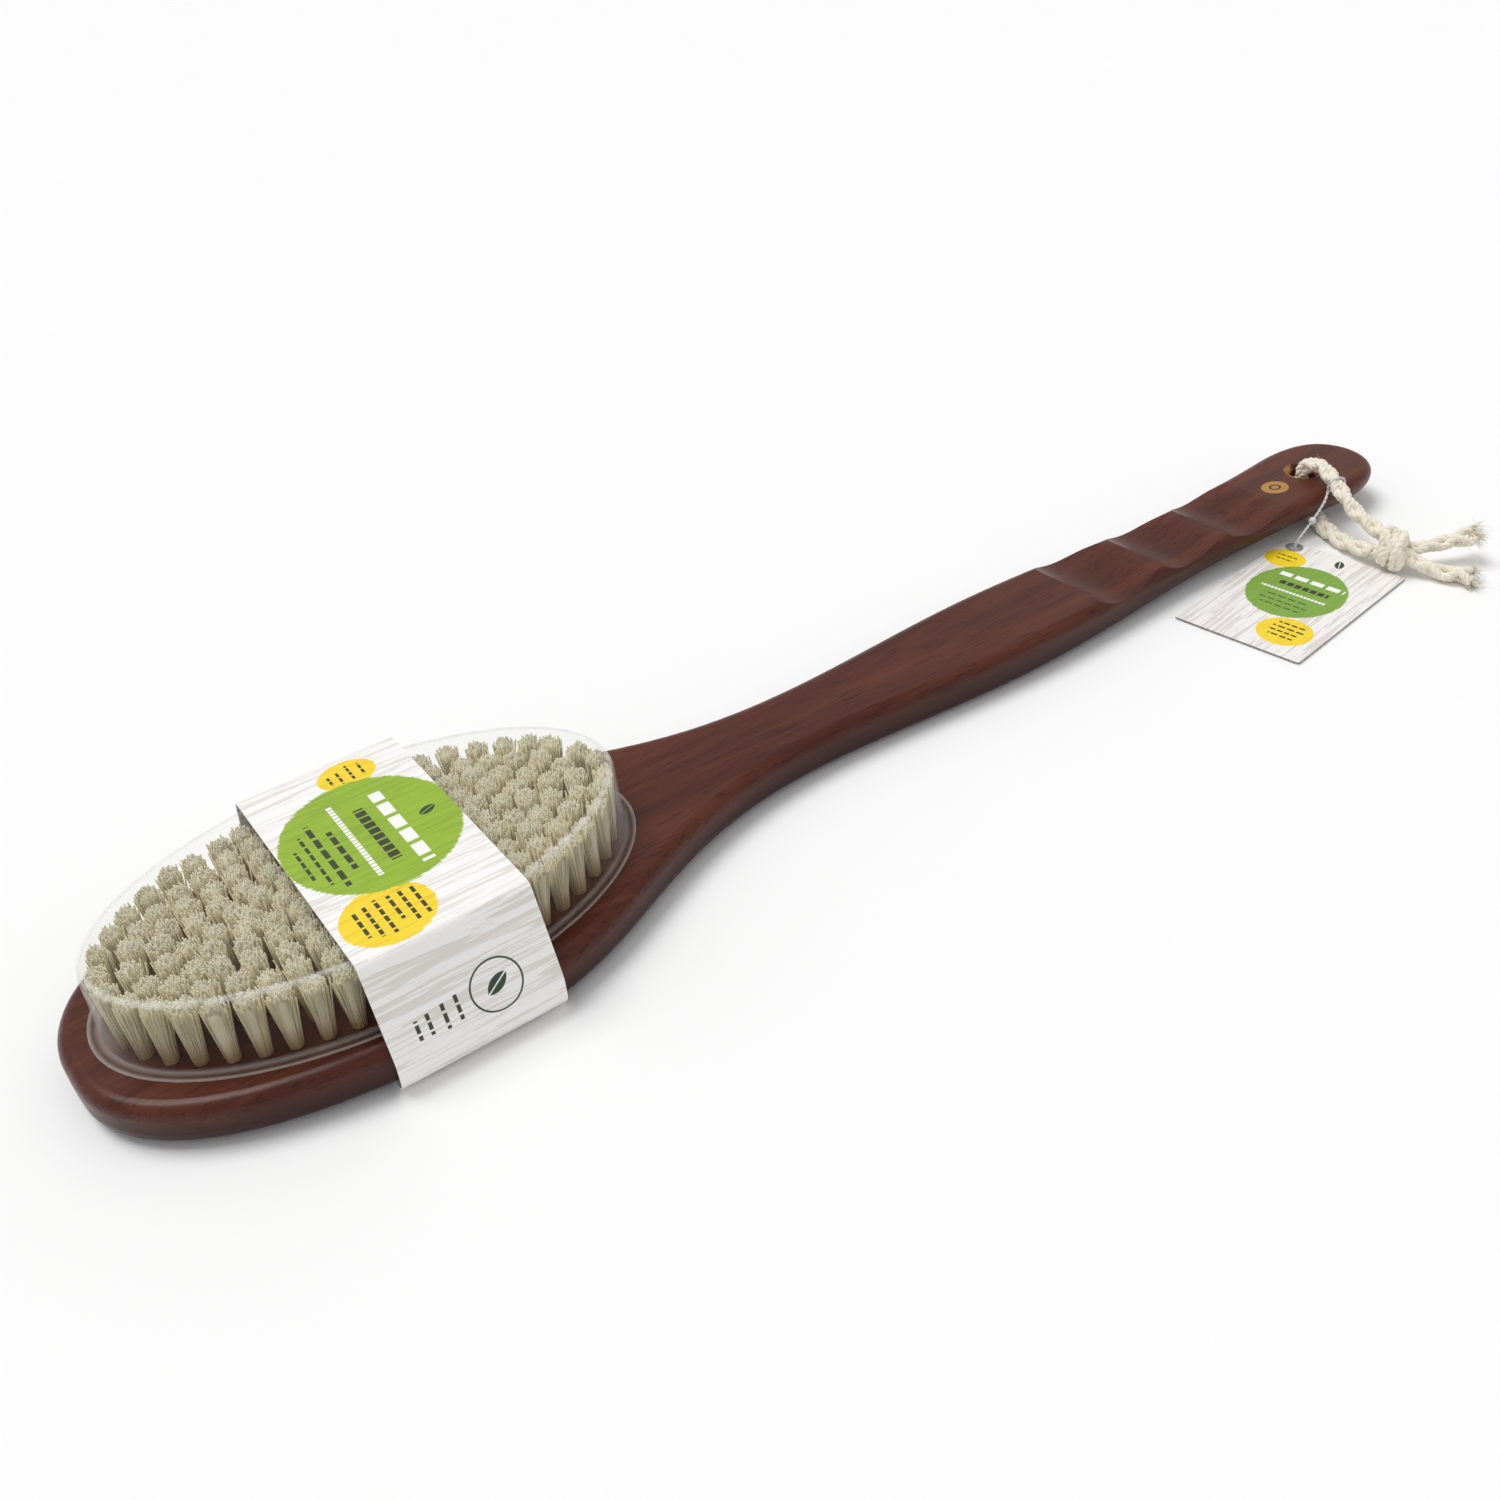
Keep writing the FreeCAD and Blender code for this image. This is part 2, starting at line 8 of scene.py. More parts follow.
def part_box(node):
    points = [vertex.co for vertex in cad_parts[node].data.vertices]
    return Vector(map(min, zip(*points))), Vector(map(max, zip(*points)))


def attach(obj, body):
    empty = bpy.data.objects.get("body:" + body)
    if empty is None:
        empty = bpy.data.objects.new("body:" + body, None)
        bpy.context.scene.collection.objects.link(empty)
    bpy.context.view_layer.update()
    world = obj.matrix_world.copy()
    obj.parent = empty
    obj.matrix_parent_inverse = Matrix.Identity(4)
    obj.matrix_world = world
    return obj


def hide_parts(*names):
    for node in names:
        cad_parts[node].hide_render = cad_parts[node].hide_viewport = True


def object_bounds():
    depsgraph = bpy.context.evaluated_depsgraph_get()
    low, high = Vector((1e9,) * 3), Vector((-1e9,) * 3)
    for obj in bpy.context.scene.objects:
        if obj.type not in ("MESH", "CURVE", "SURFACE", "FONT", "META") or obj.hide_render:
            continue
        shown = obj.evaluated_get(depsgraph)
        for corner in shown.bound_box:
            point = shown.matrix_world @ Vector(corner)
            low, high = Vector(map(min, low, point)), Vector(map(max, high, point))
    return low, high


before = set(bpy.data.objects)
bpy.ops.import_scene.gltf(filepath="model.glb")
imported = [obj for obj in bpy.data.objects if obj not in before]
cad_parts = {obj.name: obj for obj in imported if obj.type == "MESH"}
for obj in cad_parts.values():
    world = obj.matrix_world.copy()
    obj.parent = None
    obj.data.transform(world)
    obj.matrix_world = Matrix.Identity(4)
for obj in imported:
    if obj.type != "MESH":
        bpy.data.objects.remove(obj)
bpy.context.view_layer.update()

MM = 0.001


# ---------------------------------------------------------------- shader nodes
class Graph:
    """The node tree of one new material."""

    def __init__(self, name):
        self.material = bpy.data.materials.new(name)
        self.material.use_nodes = True
        self.tree = self.material.node_tree
        self.tree.nodes.clear()
        self.output = self.tree.nodes.new("ShaderNodeOutputMaterial")
        self.place = self.add("TexCoord").outputs["Object"]
        self.x, self.y, self.z = self.split(self.place)

    def add(self, kind, inputs=(), **settings):
        node = self.tree.nodes.new("ShaderNode" + kind)
        for key, value in settings.items():
            setattr(node, key, value)
        for key, value in dict(inputs).items():
            socket = node.inputs[key]
            if isinstance(value, bpy.types.NodeSocket):
                self.tree.links.new(value, socket)
            elif socket.type == "RGBA":
                socket.default_value = (*value, 1)
            else:
                socket.default_value = value
        return node

    def math(self, operation, *values, clamp=False):
        return self.add("Math", enumerate(values), operation=operation, use_clamp=clamp).outputs[0]

    def ramp(self, value, low, high, to_low=0.0, to_high=1.0):
        """A smooth step from to_low at low to to_high at high."""
        inputs = {0: value, 1: low, 2: high, 3: to_low, 4: to_high}
        return self.add("MapRange", inputs, interpolation_type="SMOOTHSTEP").outputs[0]

    def mix(self, share, first, second, blend="MIX"):
        inputs = {0: share, 6: first, 7: second}
        return self.add("Mix", inputs, data_type="RGBA", blend_type=blend).outputs[2]

    def stretch(self, scale, vector=None):
        return self.add("Mapping", {"Vector": vector or self.place, "Scale": scale}).outputs[0]

    def noise(self, vector, scale, detail=3.0, roughness=0.5, distortion=0.0):
        inputs = {"Vector": vector, "Scale": scale, "Detail": detail, "Roughness": roughness,
                  "Distortion": distortion}
        return self.add("TexNoise", inputs).outputs[0]

    def bump(self, height, distance, strength=1.0, **normal):
        inputs = {"Height": height, "Distance": distance, "Strength": strength, **normal}
        return self.add("Bump", inputs).outputs[0]

    def split(self, vector):
        """The x, y and z of a vector."""
        return self.add("SeparateXYZ", {0: vector}).outputs

    def principled(self, **inputs):
        named = {key.replace("_", " "): value for key, value in inputs.items()}
        return self.add("BsdfPrincipled", named).outputs[0]

    def finish(self, shader):
        self.tree.links.new(shader, self.output.inputs["Surface"])
        return self.material


def srgb(red, green, blue):
    """A colour given as three screen values of 0 to 255."""
    values = []
    for value in (red, green, blue):
        share = value / 255
        values.append(share / 12.92 if share < 0.04045 else ((share + 0.055) / 1.055) ** 2.4)
    return tuple(values)


# ---------------------------------------------------------------- printed shapes
def oval(g, u, v, centre, half, rough=0.0, ragged=0.5):
    """1 inside an oval on a printed face, with an edge that ragged makes uneven."""
    across = g.math("DIVIDE", g.math("SUBTRACT", u, centre[0] * MM), half[0] * MM)
    along = g.math("DIVIDE", g.math("SUBTRACT", v, centre[1] * MM), half[1] * MM)
    reach = g.math("SQRT", g.math("ADD", g.math("MULTIPLY", across, across),
                                  g.math("MULTIPLY", along, along)))
    if rough:
        offset = g.math("MULTIPLY", g.math("SUBTRACT", ragged, 0.5), rough)
        reach = g.math("ADD", reach, offset)
    return g.ramp(reach, 1.015, 0.985)


PRINT_BLUR = 0.08


def ring(g, u, v, centre, outer, inner):
    """1 between two ovals round one centre."""
    return g.math("SUBTRACT", oval(g, u, v, centre, outer), oval(g, u, v, centre, inner), clamp=True)


def band(g, value, middle, width):
    """1 where a value is within a band."""
    off = g.math("ABSOLUTE", g.math("SUBTRACT", value, middle * MM))
    return g.ramp(off, (width / 2 + PRINT_BLUR) * MM, (width / 2 - PRINT_BLUR) * MM)


def strip(g, u, v, at, start, end, height, word):
    """A line of plain dashes along v. word is the length of one dash with its gap.

    The count starts 100 mm before the middle, moved a little from line to line.
    """
    inside = g.math("MULTIPLY", band(g, u, at, height),
                    band(g, v, (start + end) / 2, abs(end - start)))
    phase = g.math("FRACT", g.math("DIVIDE", g.math("ADD", v, (100 + 3 * at) * MM), word * MM))
    dash = g.ramp(g.math("ABSOLUTE", g.math("SUBTRACT", phase, 0.5)), 0.42, 0.36)
    return g.math("MULTIPLY", inside, dash)


def leaf(g, u, v, centre, size, turn):
    """1 inside a pointed leaf: where two circles cross, less the vein along its middle."""
    cos, sin = math.cos(turn), math.sin(turn)
    from_u = g.math("SUBTRACT", u, centre[0] * MM)
    from_v = g.math("SUBTRACT", v, centre[1] * MM)
    along = g.math("ADD", g.math("MULTIPLY", from_u, cos), g.math("MULTIPLY", from_v, sin))
    across = g.math("SUBTRACT", g.math("MULTIPLY", from_v, cos), g.math("MULTIPLY", from_u, sin))
    radius = 0.8 * size
    inside = None
    for side in (-0.45, 0.45):
        circle = oval(g, along, across, (0, side * size), (radius, radius))
        inside = circle if inside is None else g.math("MULTIPLY", inside, circle)
    vein = band(g, across, 0, 0.07 * size)
    return g.math("SUBTRACT", inside, g.math("MULTIPLY", inside, vein), clamp=True)


def wood_print(g, u, v, pale, streak):
    """A white ground with dry-brush streaks along u."""
    flat = g.add("CombineXYZ", {0: u, 1: v, 2: 0.0}).outputs[0]
    broad = g.noise(g.stretch((30, 560, 1), vector=flat), 1.0, 4, 0.6, 0.6)
    fine = g.noise(g.stretch((26, 1500, 1), vector=flat), 1.0, 3, 0.6, 0.3)
    mask = g.math("MAXIMUM", g.ramp(broad, 0.52, 0.55),
                  g.math("MULTIPLY", g.ramp(fine, 0.56, 0.6), 0.75))
    return g.mix(g.math("MULTIPLY", mask, 0.7), pale, streak)


def ovals_and_lines(g, u, v, ground, ovals, lines):
    """Paint ovals, then strips of dashes, over the ground."""
    flat = g.add("CombineXYZ", {0: u, 1: v, 2: 0.0}).outputs[0]
    ragged = g.noise(g.stretch((500, 1400, 1), vector=flat), 1.0, 3, 0.6)
    strokes = g.noise(g.stretch((60, 900, 1), vector=flat), 1.0, 3, 0.6)
    colour = ground
    for centre, half, paint, dark, rough in ovals:
        inside = oval(g, u, v, centre, half, rough, ragged)
        brushed = g.mix(g.ramp(strokes, 0.42, 0.66), paint, dark)
        colour = g.mix(inside, colour, brushed)
    for at, start, end, height, word, ink in lines:
        colour = g.mix(strip(g, u, v, at, start, end, height, word), colour, ink)
    return colour


WHITE = srgb(250, 250, 246)
INK = srgb(45, 52, 18)
GREEN_INK = srgb(70, 105, 30)
GREEN = srgb(150, 185, 35)
DEEP_GREEN = srgb(136, 170, 30)
YELLOW = srgb(251, 220, 28)
DEEP_YELLOW = srgb(243, 205, 14)
LEAF = srgb(28, 62, 26)

# An oval: centre (u, v), half sizes, paint, darker paint of its brush strokes, roughness of its edge.
# A line: place in u, start and end in v, height, length of one dash with its gap, ink.
SLEEVE_OVALS = [((-134.3, 27.8), (7.2, 5.6), YELLOW, DEEP_YELLOW, 0.04),
                ((-147.2, -25.3), (10.6, 9.8), YELLOW, DEEP_YELLOW, 0.16),
                ((-138.8, 3.0), (20.6, 21.6), GREEN, DEEP_GREEN, 0.1)]
SLEEVE_LINES = [(-132.4, -14.5, 16.5, 3.0, 6.2, WHITE), (-137.9, -9.5, 13.0, 2.5, 2.6, INK),
                (-143.0, -12.5, 18.3, 1.3, 1.3, WHITE), (-146.5, -6.8, 9.5, 1.3, 4.0, INK),
                (-149.9, -11.3, 14.8, 1.3, 4.6, INK), (-152.7, -8.6, 11.8, 0.8, 3.1, INK),
                (-155.3, -4.6, 7.4, 0.8, 2.9, INK),
                (-130.6, 25.2, 30.6, 0.7, 2.2, INK), (-133.4, 24.6, 31.4, 0.7, 1.9, INK),
                (-136.2, 24.8, 30.4, 0.7, 2.4, INK), (-138.6, 25.6, 29.8, 0.7, 1.8, INK),
                (-139.8, -30.5, -20.2, 0.9, 2.9, INK), (-142.5, -31.0, -19.4, 0.9, 2.3, INK),
                (-145.1, -28.8, -19.8, 0.9, 3.1, INK), (-148.0, -31.8, -19.2, 0.9, 2.6, INK),
                (-150.7, -31.2, -20.0, 0.9, 2.2, INK), (-153.2, -29.8, -20.6, 0.9, 2.9, INK),
                (-142.8, -57.0, -51.0, 0.9, 2.4, INK), (-146.0, -57.5, -51.5, 0.9, 2.9, INK),
                (-149.6, -57.0, -52.0, 0.9, 2.2, INK), (-152.3, -57.0, -52.4, 0.9, 2.5, INK)]


SLEEVE_FOLD = 35.9 * MM
SLEEVE_TOP = 31.65 * MM
SLEEVE_SLANT = 1.066


def sleeve_material():
    """The print runs over the top of the sleeve and down its slanting sides. v is the way across."""
    g = Graph("printed sleeve card")
    inner = g.math("MINIMUM", g.math("MAXIMUM", g.y, -SLEEVE_FOLD), SLEEVE_FOLD)
    drop = g.math("MULTIPLY", g.math("SUBTRACT", SLEEVE_TOP, g.z), SLEEVE_SLANT)
    v = g.math("ADD", inner, g.math("MULTIPLY", g.math("SIGN", g.y), drop))
    u = g.x
    ground = wood_print(g, u, v, srgb(252, 251, 249), srgb(222, 214, 204))
    colour = ovals_and_lines(g, u, v, ground, SLEEVE_OVALS, SLEEVE_LINES)
    colour = g.mix(leaf(g, u, v, (-125.2, 2.3), 3.7, 0.35), colour, LEAF)
    colour = g.mix(ring(g, u, v, (-133.6, -53.4), (6.2, 6.2), (5.75, 5.75)), colour, LEAF)
    colour = g.mix(leaf(g, u, v, (-133.4, -53.2), 4.8, 0.6), colour, LEAF)
    grain = g.noise(g.stretch((900, 900, 900)), 1.0, 3)
    crease = g.noise(g.stretch((30, 90, 90)), 1.0, 2)
    height = g.math("ADD", g.math("MULTIPLY", grain, 0.12), crease)
    shader = g.principled(Base_Color=colour, Roughness=g.ramp(grain, 0.3, 0.7, 0.38, 0.52),
                          Coat_Weight=0.25, Coat_Roughness=0.25,
                          Normal=g.bump(height, 0.00035, 0.6))
    return g.finish(shader)


TAG_OVALS = [((20.3, 13.6), (5.6, 6.4), YELLOW, DEEP_YELLOW, 0.05),
             ((-18.9, -8.6), (7.8, 8.2), YELLOW, DEEP_YELLOW, 0.08),
             ((3.8, 0.4), (16.4, 14.4), srgb(128, 170, 58), srgb(118, 160, 50), 0.09)]
TAG_LINES = [(11.6, -11.0, 10.0, 2.3, 5.2, WHITE), (6.6, -8.5, 7.8, 2.2, 2.5, INK),
             (2.0, -9.8, 11.0, 1.1, 1.2, WHITE), (-1.6, -6.0, 7.5, 0.8, 3.3, GREEN_INK),
             (-4.4, -7.0, 8.0, 0.8, 2.8, GREEN_INK), (-7.0, -6.0, 6.4, 0.8, 3.0, GREEN_INK),
             (22.0, 10.4, 16.8, 0.6, 2.0, INK), (19.6, 10.8, 16.4, 0.6, 1.7, INK),
             (-14.6, -13.0, -4.6, 0.8, 2.4, INK), (-17.1, -13.8, -4.0, 0.8, 2.9, INK),
             (-19.5, -13.2, -3.8, 0.8, 2.2, INK), (-21.9, -12.6, -5.0, 0.8, 2.6, INK)]


TAG_TURN = math.radians(8)
TAG_MIDDLE_Z = 0.55 * MM


def tag_material():
    """The tag's own axes start at its middle and are turned by its angle."""
    g = Graph("printed tag card")
    low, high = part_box("hang_tag")
    middle = (low + high) / 2
    cos, sin = math.cos(TAG_TURN), math.sin(TAG_TURN)
    from_x = g.math("SUBTRACT", g.x, middle.x)
    from_y = g.math("SUBTRACT", g.y, middle.y)
    u = g.math("ADD", g.math("MULTIPLY", from_x, cos), g.math("MULTIPLY", from_y, sin))
    v = g.math("SUBTRACT", g.math("MULTIPLY", from_y, cos), g.math("MULTIPLY", from_x, sin))
    ground = wood_print(g, u, v, srgb(247, 244, 242), srgb(214, 204, 200))
    colour = ovals_and_lines(g, u, v, ground, TAG_OVALS, TAG_LINES)
    colour = g.mix(leaf(g, u, v, (26.4, -1.4), 4.0, 0.35), colour, LEAF)
    # Painted shade: the card's cut edge gets a dark grey-brown, standing in for the shadow along its
    # edge.
    from_middle = g.math("ABSOLUTE", g.math("SUBTRACT", g.z, TAG_MIDDLE_Z))
    face = g.ramp(from_middle, 0.19 * MM, 0.24 * MM)
    colour = g.mix(face, srgb(120, 108, 100), colour)
    grain = g.noise(g.stretch((900, 900, 900)), 1.0, 3)
    shader = g.principled(Base_Color=colour, Roughness=g.ramp(grain, 0.3, 0.7, 0.4, 0.55),
                          Coat_Weight=0.2, Coat_Roughness=0.25,
                          Normal=g.bump(grain, 0.0001, 0.5))
    return g.finish(shader)


# ---------------------------------------------------------------- wood
HOLE_X = 189.0
STAMP = (173.6, -1.2)


def wood_material():
    """Streaky red-brown stain, darker low down as painted shade, bare at the hole, with a gold stamp
    beside it.
    """
    g = Graph("stained wood")
    fibres = g.noise(g.stretch((9, 260, 200)), 1.0, 5, 0.62, 0.4)
    figure = g.noise(g.stretch((5, 46, 60)), 1.0, 3, 0.55, 1.2)
    pores = g.noise(g.stretch((90, 1500, 1500)), 1.0, 2, 0.5)
    colour = g.mix(g.ramp(figure, 0.3, 0.72), srgb(74, 32, 21), srgb(98, 50, 34))
    colour = g.mix(g.math("MULTIPLY", g.ramp(fibres, 0.45, 0.75), 0.35), colour, srgb(118, 64, 42))
    colour = g.mix(g.math("MULTIPLY", g.ramp(pores, 0.56, 0.64), 0.5), colour, srgb(34, 10, 7))
    # Painted shade: the wood turns dark brown towards the floor, as if its sides were in shadow.
    colour = g.mix(g.ramp(g.z, 2.5 * MM, 12.2 * MM), srgb(46, 15, 8), colour)

    from_hole_x = g.math("SUBTRACT", g.x, HOLE_X * MM)
    reach = g.math("SQRT", g.math("ADD", g.math("MULTIPLY", from_hole_x, from_hole_x),
                                  g.math("MULTIPLY", g.y, g.y)))
    patchy = g.noise(g.stretch((420, 420, 420)), 1.0, 3, 0.6)
    uneven = g.math("ADD", reach, g.math("MULTIPLY", patchy, 2.4 * MM))
    near_rim = g.ramp(uneven, 7.3 * MM, 6.2 * MM)
    slanted = g.math("ADD", from_hole_x, g.math("MULTIPLY", g.y, -0.5))
    head_side = g.ramp(slanted, -1.0 * MM, -3.4 * MM)
    worn = g.math("MULTIPLY", g.math("MULTIPLY", near_rim, head_side),
                  g.ramp(g.z, 7.5 * MM, 10.0 * MM))
    colour = g.mix(worn, colour, srgb(176, 126, 66))

    on_top = g.ramp(g.z, 9.0 * MM, 11.0 * MM)
    seal = oval(g, g.x, g.y, STAMP, (4.7, 4.0), 0.12, patchy)
    mark = ring(g, g.x, g.y, STAMP, (2.1, 1.8), (1.3, 1.1))
    seal = g.math("MULTIPLY", g.math("SUBTRACT", seal, mark, clamp=True), on_top)
    colour = g.mix(g.math("MULTIPLY", seal, 0.9), colour, srgb(184, 136, 70))

    height = g.math("ADD", g.math("MULTIPLY", fibres, 0.5), g.math("MULTIPLY", pores, -0.5))
    rough = g.ramp(figure, 0.3, 0.7, 0.3, 0.4)
    shader = g.principled(Base_Color=colour, Roughness=rough, Specular_IOR_Level=0.22,
                          Coat_Weight=0.07, Coat_Roughness=0.2, Normal=g.bump(height, 0.00006, 0.5))
    return g.finish(shader)


# ---------------------------------------------------------------- plastic, metal and fibres
COVER_MIDDLE_X = -142.7
FLANGE_EDGE = (65.6, 37.6)
FOOT_OUTER = (64.2, 36.2)
FOOT_INNER = (62.6, 34.6)


def cover_material():
    """Thin clear sheet: mostly see-through, with a wrinkled gloss along its rounded edge that is
    partly real gloss and partly a painted highlight.

    The rim of its flange and the foot of its wall show as pale lines, which are painted highlights.
    """
    g = Graph("clear formed sheet")
    ripple = g.noise(g.stretch((160, 160, 160)), 1.0, 2, 0.5)
    crinkle = g.noise(g.stretch((420, 420, 900)), 1.0, 4, 0.65)
    upward = g.split(g.add("NewGeometry").outputs["True Normal"])[2]
    rounded = g.ramp(g.math("ABSOLUTE", upward), 0.97, 0.85)
    edge = g.math("MULTIPLY", g.ramp(g.z, 29.2 * MM, 30.1 * MM), rounded)
    height = g.math("ADD", g.math("MULTIPLY", ripple, 0.8),
                    g.math("MULTIPLY", crinkle, g.math("MULTIPLY", edge, 0.5)))
    normal = g.bump(height, 0.0006, 0.5)
    gloss = g.principled(Base_Color=(0.93, 0.92, 0.88), Roughness=0.08, Normal=normal)
    clear = g.add("BsdfTransparent", {"Color": (0.99, 0.99, 0.985)}).outputs[0]
    graze = g.add("LayerWeight", {"Blend": 0.5, "Normal": normal}).outputs["Facing"]
    rim = g.math("MULTIPLY", g.math("POWER", graze, 5.0), 0.5)
    # Partly a painted highlight: where the crinkles are, more of the whitish sheet is mixed in, on
    # top of its real gloss.
    wrinkle_gloss_and_painted_glint = g.math("MULTIPLY", edge, g.ramp(crinkle, 0.35, 0.7, 0.1, 0.42))
    # Painted highlights: pale lines along the flange's rim and the wall's foot, standing in for the
    # glints of the edge and the fold.
    flat = g.ramp(g.z, 12.9 * MM, 12.6 * MM)
    middle = (COVER_MIDDLE_X, 0)
    beyond = g.math("SUBTRACT", 1.0, oval(g, g.x, g.y, middle, FLANGE_EDGE))
    foot = ring(g, g.x, g.y, middle, FOOT_OUTER, FOOT_INNER)
    lines = g.math("ADD", beyond, g.math("MULTIPLY", foot, 0.5), clamp=True)
    lines = g.math("MULTIPLY", g.math("MULTIPLY", lines, flat), 0.24)
    share = g.math("ADD", g.math("ADD", rim, wrinkle_gloss_and_painted_glint), g.math("ADD", lines, 0.008), clamp=True)
    mixed = g.add("MixShader", {0: share, 1: clear, 2: gloss}).outputs[0]
    return g.finish(mixed)


def bristle_material():
    """Cream hair that lets light through. Its shading normal leans up, as a soft tuft's does."""
    g = Graph("natural bristle")
    tone = g.add("Attribute", attribute_name="tone").outputs["Fac"]
    rise = g.ramp(g.z, 11.0 * MM, 20.0 * MM)
    colour = g.mix(rise, srgb(212, 174, 116), srgb(255, 248, 220))
    colour = g.mix(g.ramp(g.z, 25.5 * MM, 28.5 * MM), colour, srgb(255, 252, 234))
    colour = g.mix(g.math("MULTIPLY", g.ramp(tone, 0.6, 1.0), 0.2), colour, srgb(250, 236, 198))
    streaks = g.noise(g.stretch((2600, 2600, 90)), 1.0, 2)
    colour = g.mix(g.math("MULTIPLY", g.ramp(streaks, 0.5, 0.7), 0.1), colour, srgb(250, 236, 200))
    own = g.add("NewGeometry").outputs["Normal"]
    raised = g.add("VectorMath", {0: own, 1: (0.0, 0.0, 0.7)}, operation="ADD").outputs[0]
    soft = g.add("VectorMath", {0: raised}, operation="NORMALIZE").outputs[0]
    solid = g.principled(Base_Color=colour, Roughness=g.ramp(streaks, 0.3, 0.7, 0.45, 0.6),
                         Normal=g.bump(streaks, 0.0001, 0.3, Normal=soft))
    glow = g.add("BsdfTranslucent", {"Color": colour}).outputs[0]
    return g.finish(g.add("MixShader", {0: 0.45, 1: solid, 2: glow}).outputs[0])


def cotton_material():
    g = Graph("natural cotton")
    patchy = g.noise(g.stretch((700, 700, 700)), 1.0, 3, 0.6)
    lint = g.noise(g.stretch((5200, 5200, 5200)), 1.0, 2, 0.6)
    colour = g.mix(g.ramp(patchy, 0.3, 0.7), srgb(238, 229, 208), srgb(250, 244, 230))
    colour = g.mix(g.math("MULTIPLY", g.ramp(lint, 0.55, 0.72), 0.3), colour, srgb(206, 190, 158))
    shader = g.principled(Base_Color=colour, Roughness=g.ramp(lint, 0.3, 0.7, 0.75, 0.95),
                          Sheen_Weight=0.3, Normal=g.bump(lint, 0.00012, 0.6))
    return g.finish(shader)


def string_material():
    g = Graph("pale thread")
    lint = g.noise(g.stretch((4200, 4200, 4200)), 1.0, 2, 0.6)
    colour = g.mix(g.ramp(lint, 0.35, 0.7), srgb(226, 226, 230), srgb(188, 188, 194))
    shader = g.principled(Base_Color=colour, Roughness=g.ramp(lint, 0.3, 0.7, 0.45, 0.7),
                          Normal=g.bump(lint, 0.00008, 0.6))
    return g.finish(shader)


def bead_material():
    g = Graph("small moulded bead")
    cloudy = g.noise(g.stretch((1500, 1500, 1500)), 1.0, 2)
    colour = g.mix(g.ramp(cloudy, 0.3, 0.7), srgb(222, 222, 226), srgb(198, 198, 204))
    shader = g.principled(Base_Color=colour, Roughness=g.ramp(cloudy, 0.3, 0.7, 0.2, 0.35),
                          Normal=g.bump(cloudy, 0.00006, 0.4))
    return g.finish(shader)


def metal_material(name, colour, dark):
    g = Graph(name)
    rub = g.noise(g.stretch((2400, 2400, 600)), 1.0, 3)
    tint = g.mix(g.ramp(rub, 0.4, 0.7), colour, dark)
    shader = g.principled(Base_Color=tint, Metallic=0.6,
                          Roughness=g.ramp(rub, 0.3, 0.7, 0.3, 0.5),
                          Normal=g.bump(rub, 0.00004, 0.4))
    return g.finish(shader)


def floor_material():
    g = Graph("pale floor")
    dust = g.noise(g.stretch((14, 14, 14)), 1.0, 2)
    colour = g.mix(dust, (0.95, 0.95, 0.95), (0.97, 0.97, 0.97))
    return g.finish(g.principled(Base_Color=colour, Roughness=0.9, Specular_IOR_Level=0.1))


# ---------------------------------------------------------------- mesh pieces
def add_piece(name, points, faces, material, body, nodes=()):
    """A smooth-shaded mesh that rides on a body and stands for CAD nodes."""
    mesh = bpy.data.meshes.new(name)
    mesh.from_pydata(np.asarray(points).tolist(), [], faces)
    mesh.materials.append(material)
    mesh.shade_smooth()
    piece = bpy.data.objects.new(name, mesh)
    bpy.context.scene.collection.objects.link(piece)
    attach(piece, body)
    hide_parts(*nodes)
    return piece


def paint_node(node, material):
    """Give a CAD solid a material."""
    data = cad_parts[node].data
    data.materials.clear()
    data.materials.append(material)


def tuft_places(node):
    """The middle of each tuft in a CAD row, found from the round undersides of its roots."""
    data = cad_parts[node].data
    points = np.array([vertex.co for vertex in data.vertices])
    rims = points[points[:, 2] < points[:, 2].min() + 0.0002][:, :2]
    centres = []
    while len(rims):
        member = np.arange(len(rims)) == 0
        while True:
            gaps = np.linalg.norm(rims[:, None] - rims[None, member], axis=2).min(axis=1)
            grown = gaps < 0.0015
            if (grown == member).all():
                break
            member = grown
        centres.append((rims[member].min(axis=0) + rims[member].max(axis=0)) / 2)
        rims = rims[~member]
    return np.array(centres)


GOLDEN_ANGLE = 2.39996
BRISTLE_SIDES = 3
BRISTLE_BASE = 11.3 * MM
BRISTLE_LEVELS = [0.0, 0.45, 1.0]
BRISTLE_THICK = [0.2, 0.22, 0.2]
ROOT_RADIUS, TIP_RADIUS = 1.5 * MM, 2.75 * MM
TOP_DOME = 1.5 * MM
COVER_GAP = 4.1 * MM

# The solid core of a tuft: share of its lean, radius and height above the floor, in millimetres.
CORE_SIDES = 12
CORE_RINGS = [(0.0, 1.4, 11.3), (0.5, 1.75, 19.5), (0.85, 2.2, 25.6), (1.0, 1.2, 27.2)]


def circle(sides):
    """Points round a unit circle."""
    angle = np.arange(sides) * 2 * math.pi / sides
    return np.stack([np.cos(angle), np.sin(angle)], axis=1)


def walls(faces, lower, upper, sides):
    """Faces between two rings of points that start at lower and at upper."""
    for side in range(sides):
        after = (side + 1) % sides
        faces.append((lower + side, lower + after, upper + after, upper + side))


def inside_cover(tip):
    """The same places, with any that lie too near the cover's wall moved in to it."""
    low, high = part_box("bristle_cover")
    middle = np.array((low + high) / 2)[:2]
    limit = np.array((high - low) / 2)[:2] - COVER_GAP
    off = (tip - middle) / limit
    size = np.maximum(np.linalg.norm(off, axis=1), 1.0)
    return middle + off / size[:, None] * limit


